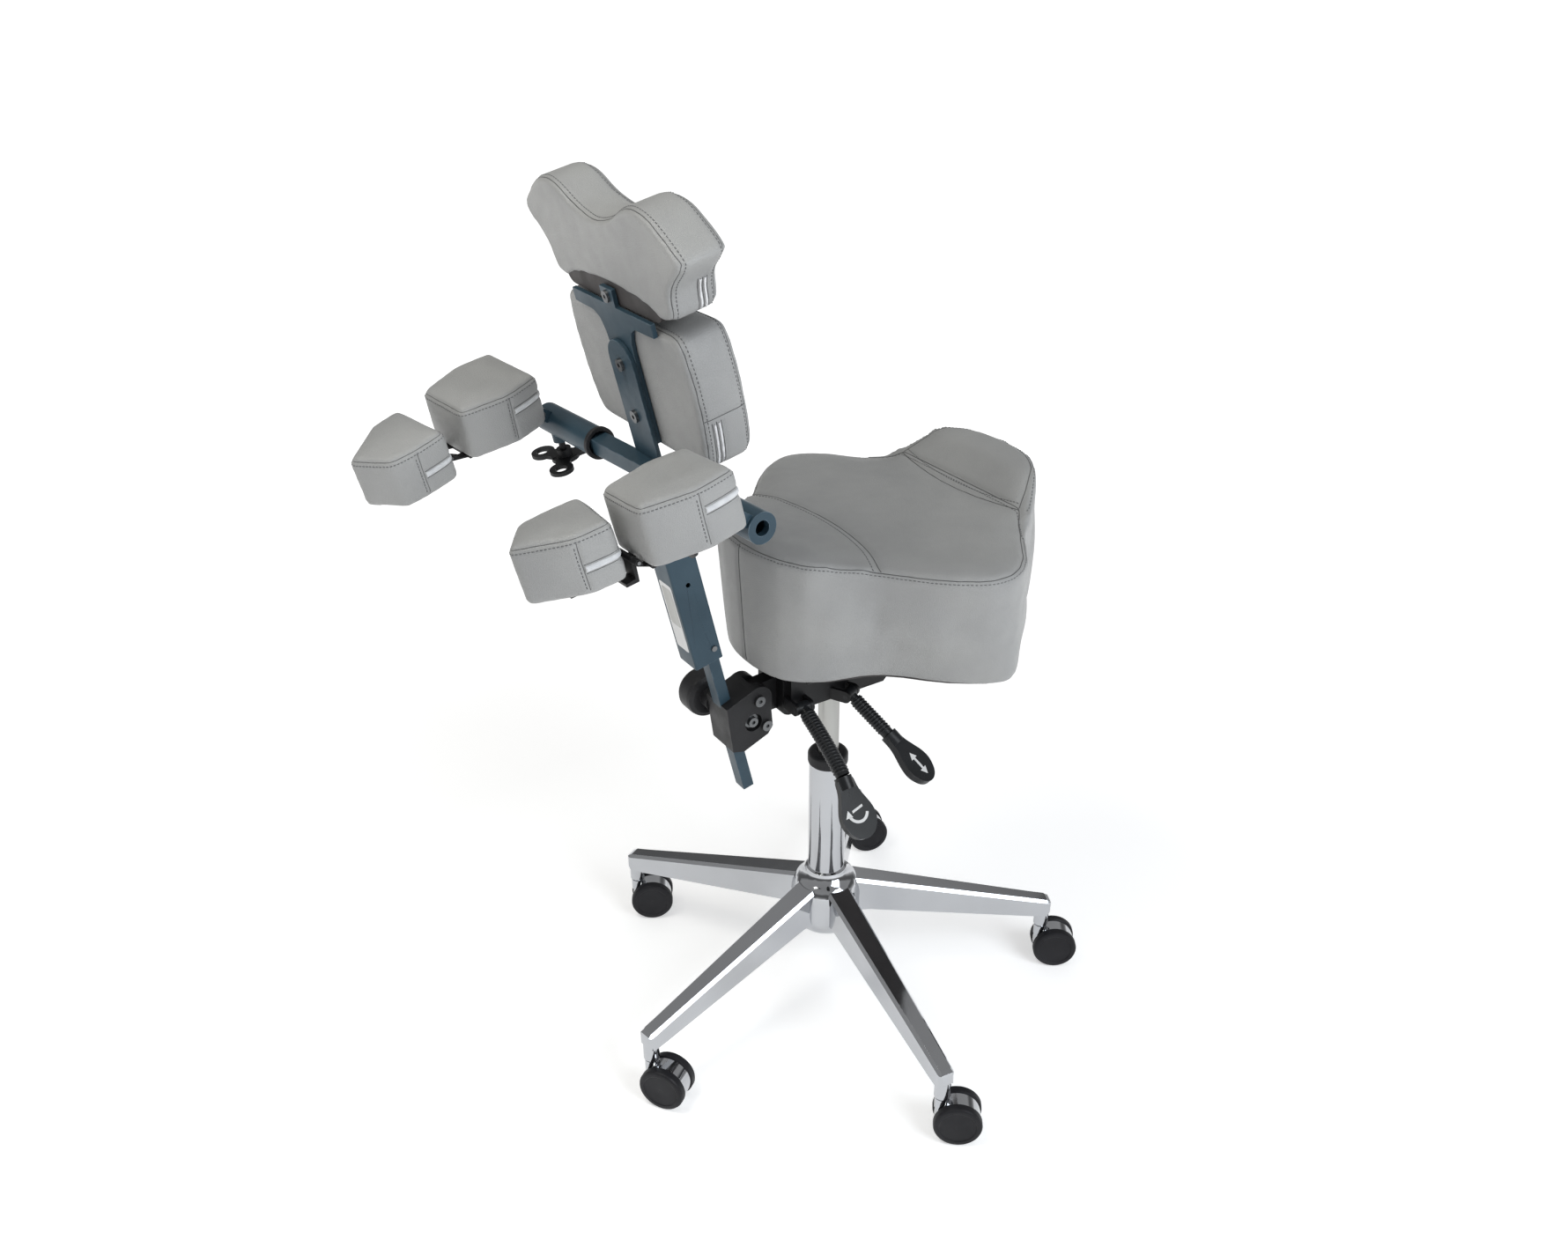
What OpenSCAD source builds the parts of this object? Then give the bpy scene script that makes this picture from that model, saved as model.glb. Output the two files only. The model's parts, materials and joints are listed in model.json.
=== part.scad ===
// Kneeling massage chair: rolling five-leg base, gas lift, saddle seat, and a
// leaning mast that carries chest, head, elbow and hand pads.
// Millimetres, +Z up, +X from the seat towards the mast, +Y the sitter's left.
// The column axis is the working origin; the last step centres the whole chair.

/* [Base] */
// distance of the caster stems from the column axis
stem_circle_r = 318; // [280:1:360]
// caster wheel diameter
wheel_d = 62; // [50:1:75]
// distance of the caster axle from its stem
caster_trail = 21; // [15:1:26]
// chrome column tube diameter
column_d = 50; // [45:1:60]
// top of the chrome column tube
column_top_z = 375; // [340:1:420]
// gas piston diameter
piston_d = 28; // [26:1:30]

/* [Seat] */
// underside of the seat cushion
seat_z = 560; // [520:1:600]
// thickness of the seat board
seat_board_t = 12; // [9:1:18]

/* [Mast] */
// forward lean of the mast
mast_lean = 13.15; // [5:0.05:25]
// height of the crossbar centre
crossbar_z = 846; // [780:1:900]
// forward distance of the crossbar centre
crossbar_x = 250; // [220:1:280]
// width of the mast tube across the chair
mast_tube_w = 40; // [35:1:50]
// thickness of the chest cushion
chest_pad_t = 62; // [45:1:80]
// thickness of the head cushion
head_pad_t = 60; // [45:1:80]

/* [Arms] */
// outside diameter of the arm sleeves
sleeve_d = 34; // [32:0.5:40]
// thickness of the elbow cushions
elbow_pad_h = 66; // [50:1:80]
// thickness of the hand cushions
hand_pad_h = 64; // [50:1:80]
// turn of the crossbar about the mast
bar_yaw = 4; // [0:0.5:6]

/* [Part] */
// which node to draw

/* [Hidden] */

$fn = 64;

// shift that centres the chair over the origin
centre_x = -94.15;
centre_y = -30.6;

// leg directions, and the direction each caster trails at rest
leg_angle = [10.6, 82.6, 154.6, 226.6, 298.6];
trail_angle = [124.4, 142.5, 145.1, 160, 150.6];

wheel_r = wheel_d / 2;
wheel_in = 9.5;
wheel_out = 21.5;
hood_half = 9;
axle_r = 3;
stem_r = 5.5;
column_r = column_d / 2;
piston_r = piston_d / 2;

// running clearance on a radius
run = 0.05;

// seat tilt pivot
tilt_x = -50;
tilt_z = 530;

// mast clamp pivot
pivot_x = 122;
pivot_z = 520;

// slider offset behind the mast axis
slide_n = -13;

// position along the crossbar of the pad pivots
lug_y = 198;

chrome = [0.80, 0.81, 0.83];
grey_steel = [0.62, 0.63, 0.63];
blue_grey = [0.25, 0.32, 0.38];
black = [0.06, 0.06, 0.07];
hide = [0.50, 0.50, 0.50];

// outline with each corner eased over a distance d, as a list of points
function unit(v) = v / norm(v);
function eased(p, d, k = 4) = [for (i = [0 : len(p) - 1])
    let (v = p[i],
        a = p[(i + len(p) - 1) % len(p)],
        b = p[(i + 1) % len(p)],
        da = min(d, 0.45 * norm(a - v)),
        db = min(d, 0.45 * norm(b - v)),
        s = v + unit(a - v) * da,
        e = v + unit(b - v) * db)
    for (j = [0 : k]) let (t = j / k)
        s * (1 - t) * (1 - t) + v * 2 * t * (1 - t) + e * t * t];
function mirrored(p) = [for (i = [len(p) - 1 : -1 : 0]) [p[i][0], -p[i][1]]];

// place a shape drawn about the column axis
module put() {
    translate([centre_x, centre_y, 0]) children();
}

// mast frame: x is forward of the mast, y across, z up along the mast
module on_mast() {
    put() translate([crossbar_x, 0, crossbar_z]) rotate([0, mast_lean, 0]) children();
}

// a flat plate in the mast frame from an outline in (across, up)
module mast_plate(n0, n1) {
    translate([n0, 0, 0]) rotate([90, 0, 90]) linear_extrude(n1 - n0) children();
}

// a shape drawn in (x, z), extruded across from y0 to y1
module side_extrude(y0, y1) {
    translate([0, y1, 0]) rotate([90, 0, 0]) linear_extrude(y1 - y0) children();
}

// cylinder along y
module cyl_y(x, z, r, y0, y1) {
    translate([x, y1, z]) rotate([90, 0, 0]) cylinder(r = r, h = y1 - y0);
}

// cylinder along x
module cyl_x(y, z, r, x0, x1) {
    translate([x0, y, z]) rotate([0, 90, 0]) cylinder(r = r, h = x1 - x0);
}

// ---------------------------------------------------------------- base

leg_side = [[20, 191], [40, 186], [300, 117], [320, 112], [327, 108],
    [329, 102], [329, 92], [322, 84], [300, 87], [60, 132], [20, 134]];
leg_plan = eased([[20, -18], [60, -17], [300, -11.5], [329, -11], [329, 11],
    [300, 11.5], [60, 17], [20, 18]], 8);
hub_side = [[column_r + 0.02, 112], [40, 114], [46, 122], [48, 136], [48, 166],
    [46, 178], [41, 187], [34, 193], [30, 198], [28, 205], [column_r + 0.02, 207]];

module leg_edge_cut() {
    for (m = [-1, 1])
        translate([20, m * 18, 191]) rotate([0, 0, -m * 1.25])
            rotate([0, 14.9, 0]) rotate([45, 0, 0])
                translate([0, -3, -3]) cube([320, 6, 6]);
}

module leg() {
    difference() {
        intersection() {
            side_extrude(-20, 20) polygon(leg_side);
            translate([0, 0, 60]) linear_extrude(150) polygon(leg_plan);
        }
        leg_edge_cut();
    }
    translate([stem_circle_r, 0, 66]) cylinder(r = 10.5, h = 30);
}

module star_base() {
    color(chrome) put() difference() {
        union() {
            rotate_extrude($fn = 96) polygon(hub_side);
            for (a = leg_angle) rotate([0, 0, a]) leg();
        }
        translate([0, 0, 100]) cylinder(r = column_r + 0.02, h = 120, $fn = 96);
        for (a = leg_angle) rotate([0, 0, a])
            translate([stem_circle_r, 0, 60]) cylinder(r = stem_r + run, h = 36);
    }
}

module column_tube() {
    color(chrome) put() rotate_extrude($fn = 96) polygon([
        [column_r - 2, 116], [column_r, 116], [column_r, column_top_z - 1],
        [column_r - 1, column_top_z], [column_r - 2, column_top_z]]);
}

module column_collar() {
    color(black) put() rotate_extrude($fn = 96) polygon([
        [piston_r + run, column_top_z - 90], [column_r - 2.03, column_top_z - 90],
        [column_r - 2.03, column_top_z + 0.02], [column_r + 1.2, column_top_z + 0.02],
        [column_r + 1.8, column_top_z + 3], [column_r + 1.8, column_top_z + 13],
        [column_r, column_top_z + 16], [column_r - 4, column_top_z + 18],
        [piston_r + run, column_top_z + 18]]);
}

module gas_piston() {
    color(grey_steel) put() rotate_extrude($fn = 96) polygon([
        [0, 190], [piston_r - 1, 190], [piston_r, 191],
        [piston_r, 510], [piston_r - 1, 511], [0, 511]]);
}

// ------------------------------------------------------------- casters

// caster frame: +x is the trailing direction, z = 0 is the floor
module at_caster(i) {
    a = leg_angle[i];
    put() translate([stem_circle_r * cos(a), stem_circle_r * sin(a), 0])
        rotate([0, 0, trail_angle[i]]) children();
}

module caster_hood(i) {
    color(chrome) at_caster(i) difference() {
        union() {
            side_extrude(-hood_half, hood_half) intersection() {
                translate([caster_trail, wheel_r]) circle(r = wheel_r - 2);
                translate([-40, 7]) square([100, 60]);
            }
            translate([0, 0, 46]) cylinder(r = 9, h = 17);
            translate([0, 0, 62]) cylinder(r = 7.5, h = 3.5);
            translate([0, 0, 65]) cylinder(r = stem_r, h = 29);
        }
        cyl_y(caster_trail, wheel_r, axle_r + run, -30, 30);
    }
}

module caster_axle(i) {
    color(grey_steel) at_caster(i)
        cyl_y(caster_trail, wheel_r, axle_r, -wheel_out + 1, wheel_out - 1);
}

module wheel_disc() {
    rotate_extrude($fn = 72) polygon([
        [axle_r, wheel_in], [wheel_r - 2, wheel_in], [wheel_r, wheel_in + 1.5],
        [wheel_r, wheel_out - 3.5], [wheel_r - 1.2, wheel_out - 1.2],
        [wheel_r - 3.5, wheel_out], [wheel_r - 7, wheel_out],
        [wheel_r - 8, wheel_out - 0.8], [0, wheel_out - 0.8],
        [0, wheel_out - 1], [axle_r, wheel_out - 1]]);
}

module caster_wheels(i) {
    color(black) at_caster(i) translate([caster_trail, 0, wheel_r]) {
        rotate([90, 0, 0]) wheel_disc();
        rotate([-90, 0, 0]) wheel_disc();
    }
}

module caster_1_hood() { caster_hood(0); }
module caster_1_axle() { caster_axle(0); }
module caster_1_wheels() { caster_wheels(0); }
module caster_2_hood() { caster_hood(1); }
module caster_2_axle() { caster_axle(1); }
module caster_2_wheels() { caster_wheels(1); }
module caster_3_hood() { caster_hood(2); }
module caster_3_axle() { caster_axle(2); }
module caster_3_wheels() { caster_wheels(2); }
module caster_4_hood() { caster_hood(3); }
module caster_4_axle() { caster_axle(3); }
module caster_4_wheels() { caster_wheels(3); }
module caster_5_hood() { caster_hood(4); }
module caster_5_axle() { caster_axle(4); }
module caster_5_wheels() { caster_wheels(4); }

// ----------------------------------------------------------- mechanism

// lever roots: x, y, z and direction in plan
tilt_lever = [76, 51, 509, 0];
height_lever = [5, 51, 506, 27];

module at_lever(p) {
    put() translate([p[0], p[1], p[2]]) rotate([0, 0, p[3]]) children();
}

// two ears that carry a lever root, reaching back into the housing side
module lever_ears(r) {
    difference() {
        for (x = [-13, 8.3]) translate([x, 0, 0]) {
            cyl_x(0, 0, r, 0, 4.7);
            translate([0, -22, -r]) cube([4.7, 22, 2 * r]);
        }
        cyl_x(0, 0, 3 + run, -20, 20);
    }
}

module mechanism_housing() {
    color(black) difference() {
        union() {
            put() difference() {
                side_extrude(-38, 38) polygon([[-64, 503], [-58, 497], [84, 497],
                    [84, 542], [76, 550], [-58, 550], [-64, 544]]);
                translate([0, 0, 490]) cylinder(r = piston_r + run, h = 21.2);
            }
            put() difference() {
                translate([0, 0, 484]) cylinder(r = 22, h = 14);
                translate([0, 0, 480]) cylinder(r = piston_r + run, h = 31.2);
            }
            at_lever(tilt_lever) lever_ears(8);
            at_lever(height_lever) lever_ears(8);
        }
        put() cyl_y(tilt_x, tilt_z, 5, -60, 60);
    }
}

module tilt_pin() {
    color(grey_steel) put() cyl_y(tilt_x, tilt_z, 5, -48, 48);
}

module tilt_plate() {
    color(black) put() difference() {
        union() {
            translate([-100, -75, 555]) cube([185, 150, 5]);
            for (y = [-43.5, 38.5]) {
                cyl_y(tilt_x, tilt_z, 10, y, y + 5);
                translate([tilt_x - 10, y, tilt_z]) cube([20, 5, 26]);
            }
        }
        cyl_y(tilt_x, tilt_z, 5 + run, -60, 60);
    }
}

// root barrel, trunnions and flexible sleeve of a lever
module lever_coil(p, r, a0, a1, len) {
    color(black) at_lever(p) {
        cyl_x(0, 0, 3, -13, 13);
        cyl_x(0, 0, 7.5, -8, 8);
        rotate([a0, 0, 0]) {
            rotate([-90, 0, 0]) cylinder(r = r - 2, h = 14);
            translate([0, 10, 0]) bent(r, a1 - a0, len);
        }
    }
}

// round sleeve that starts along +y and bends in the (y, z) plane
module bent(r, a, len) {
    if (abs(a) < 1)
        rotate([-90, 0, 0]) cylinder(r = r, h = len);
    else {
        rr = len / (abs(a) * PI / 180);
        translate([0, 0, -rr]) rotate([0, -90, 0]) rotate_extrude(angle = abs(a), $fn = 180)
            translate([rr, 0]) circle(r = r, $fn = 32);
    }
}

paddle = eased([[-11, 0], [-12, 18], [-23, 44], [-24, 58], [-15, 74], [0, 80],
    [15, 74], [24, 58], [23, 44], [12, 18], [11, 0]], 8);

module lever_paddle(p, y, z, a) {
    color(black) at_lever(p) translate([0, y, z]) rotate([a, 0, 0])
        difference() {
            union() {
                translate([0, 0, -4.5]) linear_extrude(9) polygon(paddle);
                translate([0, 0, 0]) rotate([-90, 0, 0]) cylinder(r = 11, h = 16);
            }
            translate([0, -1, 0]) rotate([-90, 0, 0]) cylinder(r = 8.5, h = 9);
        }
}

module tilt_lever_coil() { lever_coil(tilt_lever, 9, -25, -38, 92); }
module tilt_lever_paddle() { lever_paddle(tilt_lever, 86.2, -54, -50); }
module height_lever_coil() { lever_coil(height_lever, 8, -38, -38, 60); }
module height_lever_paddle() { lever_paddle(height_lever, 55.4, -43.3, -39); }

// ---------------------------------------------------------------- seat

// half outlines of the cushion at its underside and at its top edge, front to rear
seat_low = [[130, 0], [127, 35], [118, 62], [100, 82], [75, 98], [50, 106], [30, 112],
    [10, 122], [-10, 140], [-30, 163], [-50, 183], [-70, 198], [-90, 211], [-112, 218],
    [-134, 206], [-156, 180], [-178, 149], [-208, 127], [-238, 98], [-260, 58], [-268, 0]];
seat_high = [[138, 0], [135, 36], [126, 68], [106, 101], [76, 116], [50, 128], [30, 143],
    [10, 166], [-10, 189], [-30, 207], [-50, 221], [-70, 230], [-92, 230], [-114, 222],
    [-137, 206], [-158, 181], [-180, 152], [-207, 131], [-239, 102], [-266, 60], [-276, 0]];
seat_side = [[150, seat_z - 1], [150, 726], [134, 734], [100, 732], [60, 725], [20, 720],
    [-110, 720], [-160, 721], [-190, 726], [-212, 746], [-232, 766], [-250, 776],
    [-268, 776], [-290, 766], [-290, seat_z - 1]];
function whole(h) = concat(h, [for (i = [len(h) - 2 : -1 : 1]) [h[i][0], -h[i][1]]]);
function mix(a, b, t) = [for (i = [0 : len(a) - 1]) a[i] * (1 - t) + b[i] * t];

// flared body in level steps from the underside outline to the top edge outline
flare_steps = 5;
flare_h = 28;

module seat_body() {
    for (k = [0 : flare_steps]) {
        z = seat_z - 1 + k * flare_h;
        h = k == flare_steps ? 820 - z : flare_h;
        translate([0, 0, z]) linear_extrude(h)
            polygon(whole(mix(seat_low, seat_high, k / flare_steps)));
    }
}

module seat_board_shape(c, h) {
    translate([-70, 0, 0]) linear_extrude(h)
        scale([0.93 + c, 0.93 + c]) translate([70, 0]) polygon(whole(seat_low));
}

module seat_board() {
    color(black) put() translate([0, 0, seat_z]) seat_board_shape(0, seat_board_t);
}

module seat_cushion() {
    color(hide) put() difference() {
        intersection() {
            seat_body();
            side_extrude(-240, 240) polygon(seat_side);
        }
        translate([0, 0, seat_z - 1]) seat_board_shape(0, seat_board_t + 1);
    }
}

// --------------------------------------------------------------- clamp

block_side = [[160, 458], [144, 454], [109, 468], [102, 478], [104, 500],
    [pivot_x - 18.5, pivot_z], [pivot_x, pivot_z + 18.5], [136, 534], [168, 521]];

module mast_bracket() {
    color(black) put() difference() {
        union() {
            translate([52, -26, 491]) cube([36, 52, 6]);
            translate([84, -26, 491]) cube([4, 52, 50]);
            side_extrude(-10, 10) polygon([[86, 491], [98, 491], [pivot_x + 8, pivot_z - 8],
                [pivot_x, pivot_z + 13], [86, 536]]);
            cyl_y(pivot_x, pivot_z, 14, -10, 10);
            for (y = [-18, 18]) translate([76, y, 485]) cylinder(r = 6.5, h = 6.5);
        }
        cyl_y(pivot_x, pivot_z, 5 + run, -12, 12);
    }
}

// clearance slot for the bracket tongue, swept over the lean range
module tongue_slot() {
    cyl_y(pivot_x, pivot_z, 14.5, -10.5, 10.5);
    side_extrude(-10.5, 10.5) polygon([[80, 460], [112, 480], [136, 512],
        [pivot_x + 12, pivot_z + 4], [pivot_x, pivot_z + 25], [80, 560]]);
}

// slider bar outline in the mast frame
module slider_box(c, s0, s1) {
    translate([slide_n - 7.5 - c, -10 - c, s0]) cube([15 + 2 * c, 20 + 2 * c, s1 - s0]);
}

module clamp_block() {
    color(black) difference() {
        put() difference() {
            union() {
                side_extrude(-24, 24) polygon(block_side);
                cyl_y(pivot_x, pivot_z, 18.5, -24, 24);
            }
            tongue_slot();
            cyl_y(pivot_x, pivot_z, 5, -30, 30);
            cyl_y(130, 491, 4, -30, 30);
            cyl_y(130, 491, 12, 17, 30);
            cyl_y(112, 482, 5, 11, 30);
            cyl_y(156, 506, 4 + run, -30, -8);
        }
        on_mast() slider_box(run, -460, -280);
    }
}

// pivot screw, short screw below it, and pinch screw in its recess
module clamp_screws() {
    color(grey_steel) put() {
        difference() {
            union() {
                cyl_y(pivot_x, pivot_z, 5, -24, 24.02);
                cyl_y(pivot_x, pivot_z, 7, 24, 28);
                cyl_y(pivot_x, pivot_z, 7, -28, -24);
            }
            cyl_y(pivot_x, pivot_z, 2.5, 25.5, 29);
        }
        difference() {
            union() {
                cyl_y(112, 482, 5, 11, 24.02);
                cyl_y(112, 482, 7, 24, 28);
            }
            cyl_y(112, 482, 2.5, 25.5, 29);
        }
        difference() {
            union() {
                cyl_y(130, 491, 4, -23, 17.02);
                cyl_y(130, 491, 9.5, 17, 18.6);
                cyl_y(130, 491, 6.5, 18.5, 24);
            }
            cyl_y(130, 491, 2.5, 21, 29);
        }
    }
}

// hand knob on the right that pinches the slider
module clamp_knob() {
    color(black) put() {
        cyl_y(156, 506, 4, -40, -10.3);
        cyl_y(156, 506, 13, -42, -24.1);
        translate([156, -38, 506]) rotate([90, 0, 0]) rotate_extrude($fn = 72)
            polygon([[0, 0], [22, 0], [28, 3], [29, 8], [29, 26], [27, 30], [22, 32], [0, 32]]);
    }
}

// ---------------------------------------------------------------- mast

module slider_bar() {
    color(blue_grey) on_mast() difference() {
        slider_box(0, -474, -120);
        translate([slide_n + 7.5, -15, -474]) rotate([0, 45, 0]) cube([7, 30, 7], center = false);
        translate([slide_n - 7.5 - 5, -15, -474]) rotate([0, 45, 0]) translate([-2, 0, -3]) cube([7, 30, 5]);
    }
}

module mast_tube() {
    w = mast_tube_w / 2;
    color(blue_grey) on_mast() difference() {
        translate([0, 0, -263]) linear_extrude(253) polygon(eased([[-22, -w], [16, -w],
            [16, w], [-22, w]], 3));
        translate([0, 0, -264]) linear_extrude(251) polygon([[-20.52, -w + 1.5],
            [14.5, -w + 1.5], [14.5, w - 1.5], [-20.52, w - 1.5]]);
        cyl_y(-3, -150, 3, 10, 30);
        cyl_y(slide_n, -246, 3.5, 15, 30);
    }
}

module crossbar() {
    color(blue_grey) on_mast() rotate([0, 0, bar_yaw]) difference() {
        translate([-10, -165, -10]) cube([20, 330, 20]);
        for (m = [-1, 1]) translate([-8, m * 165 - 150, -8]) cube([16, 300, 16]);
    }
}

flat_outline = concat([[-27, 10], [27, 10]],
    [for (a = [0 : 7.5 : 180]) [27 * cos(a), 120 + 27 * sin(a)]]);

module mast_flat() {
    color(blue_grey) on_mast() difference() {
        mast_plate(-11, -6) polygon(flat_outline);
        cyl_x(0, 120, 4, -15, 0);
        cyl_x(0, 59.5, 4, -15, 0);
    }
}

// stem with flared shoulders, cross strip and centre tab
t_half = [[13, 203], [13, 184], [86, 184], [86, 169], [45, 168], [34, 162],
    [28, 150], [26, 135], [26, 32]];

module t_bracket() {
    color(blue_grey) on_mast() difference() {
        mast_plate(-16, -11) polygon(concat(t_half,
            [for (i = [len(t_half) - 1 : -1 : 0]) [-t_half[i][0], t_half[i][1]]]));
        cyl_x(0, 120, 4, -20, 0);
        cyl_x(0, 59.5, 4, -20, 0);
        cyl_x(0, 194, 4, -20, 0);
    }
}

// screws of the mast, and the snap button at its foot
module frame_bolts() {
    color(grey_steel) on_mast() {
        for (s = [59.5, 120]) difference() {
            union() {
                cyl_x(0, s, 4, -26, -5.98);
                cyl_x(0, s, 7, -6, -2.5);
            }
            cyl_x(0, s, 2.5, -4.5, 0);
        }
        difference() {
            union() {
                cyl_x(0, 194, 4, -26, -10.98);
                cyl_x(0, 194, 6.5, -11, -8);
            }
            cyl_x(0, 194, 2.5, -9.5, 0);
        }
        cyl_y(slide_n, -246, 3.5, 10, 22);
    }
}

chest_outline = eased([[-119, 20], [119, 20], [130, 60], [134, 110], [130, 150],
    [122, 178], [-122, 178], [-130, 150], [-134, 110], [-130, 60]], 18);
board_outline = eased([[-105, 34], [105, 34], [112, 100], [104, 166], [-104, 166],
    [-112, 100]], 14);

module chest_board() {
    color(black) on_mast() difference() {
        mast_plate(-27.5, -18.5) polygon(board_outline);
        for (s = [59.5, 120]) cyl_x(0, s, 4, -26, 0);
    }
}

module chest_pad() {
    color(hide) on_mast() difference() {
        mast_plate(-16.5 - chest_pad_t, -16.5) polygon(chest_outline);
        mast_plate(-27.5, -18.5) polygon(board_outline);
        for (s = [59.5, 120]) cyl_x(0, s, 4.3, -20, 0);
    }
}

head_outline = eased([[0, 274], [38, 283], [68, 299], [92, 304], [122, 298],
    [162, 270], [173, 258], [160, 244], [138, 228], [131, 214], [130, 198], [122, 187],
    [-122, 187], [-130, 198], [-131, 214], [-138, 228], [-160, 244], [-173, 258],
    [-162, 270], [-122, 298], [-92, 304], [-68, 299], [-38, 283]], 14);
arch_outline = [for (a = [0 : 10 : 180]) [98 * cos(a), 184 + 21 * sin(a)]];
head_board_outline = eased([[-100, 185], [100, 185], [106, 225], [70, 250],
    [-70, 250], [-106, 225]], 12);

module head_board() {
    color(black) on_mast() difference() {
        mast_plate(-28, -17) polygon(head_board_outline);
        cyl_x(0, 194, 4, -26, 0);
    }
}

module head_pad() {
    color(hide) on_mast() difference() {
        mast_plate(-15.5 - head_pad_t, -15.5) polygon(head_outline);
        mast_plate(-28, -17) polygon(head_board_outline);
        mast_plate(-18, -10) polygon(arch_outline);
    }
}

// ---------------------------------------------------------------- arms

// pad poses: x, y, z of the top, yaw, nose-down pitch, roll
elbow_pose = [[331, 203, 926, 0.9, 11.4, 5], [356, -182.5, 915, 10.9, 12.9, -5]];
hand_pose = [[393, 174, 898, -4.4, 12.8, 4], [438, -154.5, 894, 13.4, 15.9, -4]];
// elbow tilt pivot in the crossbar frame: x, z
elbow_pivot = [[25.4, 17.4], [21, 14]];
// hand hinge in the elbow frame: x, z
hand_hinge = [[62.2, -61], [72, -61]];
// rear bottom edge of the hand pad in the elbow frame: x, z
hand_foot = [[66.3, -79.4], [88.3, -65.6]];

module at_pose(p) {
    put() translate([p[0], p[1], p[2]]) rotate([0, 0, p[3]])
        rotate([0, p[4], 0]) rotate([p[5], 0, 0]) children();
}

// side index 0 is the left arm, 1 the right arm
function sg(i) = i == 0 ? 1 : -1;

// crossbar frame: y along the turned crossbar, x and z as in the chair
module on_bar() {
    on_mast() rotate([0, 0, bar_yaw]) rotate([0, -mast_lean, 0]) children();
}

// a point of the crossbar frame, about the column axis
function bar_point(x, y, z) = let (
        u = x * cos(mast_lean) - z * sin(mast_lean),
        w = x * sin(mast_lean) + z * cos(mast_lean),
        a = u * cos(bar_yaw) - y * sin(bar_yaw),
        b = u * sin(bar_yaw) + y * cos(bar_yaw))
    [crossbar_x + a * cos(mast_lean) + w * sin(mast_lean), b,
        crossbar_z - a * sin(mast_lean) + w * cos(mast_lean)];

// range across the chair from |y| = a to b on side i
module cyl_side(i, x, z, r, a, b) {
    if (i == 0) cyl_y(x, z, r, a, b);
    else cyl_y(x, z, r, -b, -a);
}

sleeve_bore = 14.2;

module arm_collar(i) {
    color(black) on_bar() difference() {
        cyl_side(i, 0, 0, 19, 93, 99);
        cyl_side(i, 0, 0, sleeve_bore, 90, 100);
    }
}

// lock screw: distance across, direction, and turn of the knob on it
lock_pose = [[109.5, -70, 0], [198, 11.5, 52]];

module lock_frame(i) {
    p = lock_pose[i];
    on_bar() translate([0, sg(i) * p[0], 0]) rotate([0, p[1], 0]) rotate([0, 0, p[2]])
        children();
}

module arm_sleeve(i) {
    px = elbow_pivot[i][0];
    pz = elbow_pivot[i][1];
    color(blue_grey) difference() {
        union() {
            on_bar() {
                cyl_side(i, 0, 0, sleeve_d / 2, 99.2, 214);
                for (a = [lug_y - 12, lug_y + 6.5]) {
                    cyl_side(i, px, pz, 7, a, a + 5.5);
                    translate([0, sg(i) * (a + 2.75), 0])
                        rotate([0, -atan2(pz, px), 0])
                            translate([0, -2.75, -7]) cube([norm([px, pz]), 5.5, 14]);
                }
            }
            lock_frame(i) translate([0, 0, -27]) cylinder(r = 9, h = 15);
        }
        on_bar() {
            cyl_side(i, 0, 0, sleeve_bore, 98, 206);
            cyl_side(i, 0, 0, 8.25, 200, 220);
            cyl_side(i, px, pz, 3, 180, 212);
        }
        lock_frame(i) translate([0, 0, -40]) cylinder(r = 4 + run, h = 30);
    }
}

module arm_tilt_pin(i) {
    px = elbow_pivot[i][0];
    pz = elbow_pivot[i][1];
    color(grey_steel) on_bar() cyl_side(i, px, pz, 3, lug_y - 12.5, lug_y + 12.5);
}

// flat three-lobe hand knob with its screw
module arm_lock_knob(i) {
    color(black) lock_frame(i) {
        translate([0, 0, -46]) cylinder(r = 4, h = 31);
        translate([0, 0, -46.5]) cylinder(r = 9, h = 9);
        translate([0, 0, -51]) linear_extrude(4.6) difference() {
            union() {
                circle(r = 17);
                for (a = [0, 120, 240]) rotate(a) {
                    translate([0, -9]) square([34, 18]);
                    translate([34.5, 0]) circle(r = 14.5);
                }
            }
            for (a = [0, 120, 240]) {
                rotate(a) translate([36, 0]) circle(r = 7.5);
                rotate(a + 60) translate([13.5, 0]) circle(r = 3);
            }
        }
    }
}

elbow_plan = eased([[58, -39.5], [58, 39.5], [0, 54.5], [-47, 46.5],
    [-47, -46.5], [0, -54.5]], 8);
hand_plan_left = eased([[0, -44.25], [41, -44], [72, -39], [97.5, 9], [47.5, 40],
    [41, 44], [0, 44.25]], 8);

module elbow_pad(i) {
    color(hide) at_pose(elbow_pose[i])
        translate([0, 0, -elbow_pad_h]) linear_extrude(elbow_pad_h) polygon(elbow_plan);
}

module hand_pad(i) {
    color(hide) at_pose(hand_pose[i])
        translate([0, 0, -hand_pad_h]) linear_extrude(hand_pad_h)
            polygon(i == 0 ? hand_plan_left : mirrored(hand_plan_left));
}

// where the tilt pivot lies across the elbow frame
function tongue_y(i) = let (p = elbow_pose[i],
        d = bar_point(elbow_pivot[i][0], sg(i) * lug_y, elbow_pivot[i][1]) - [p[0], p[1], p[2]],
        ahead = cos(p[3]) * d[0] + sin(p[3]) * d[1],
        up = sin(p[4]) * ahead + cos(p[4]) * d[2])
    cos(p[5]) * (cos(p[3]) * d[1] - sin(p[3]) * d[0]) + sin(p[5]) * up;

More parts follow.
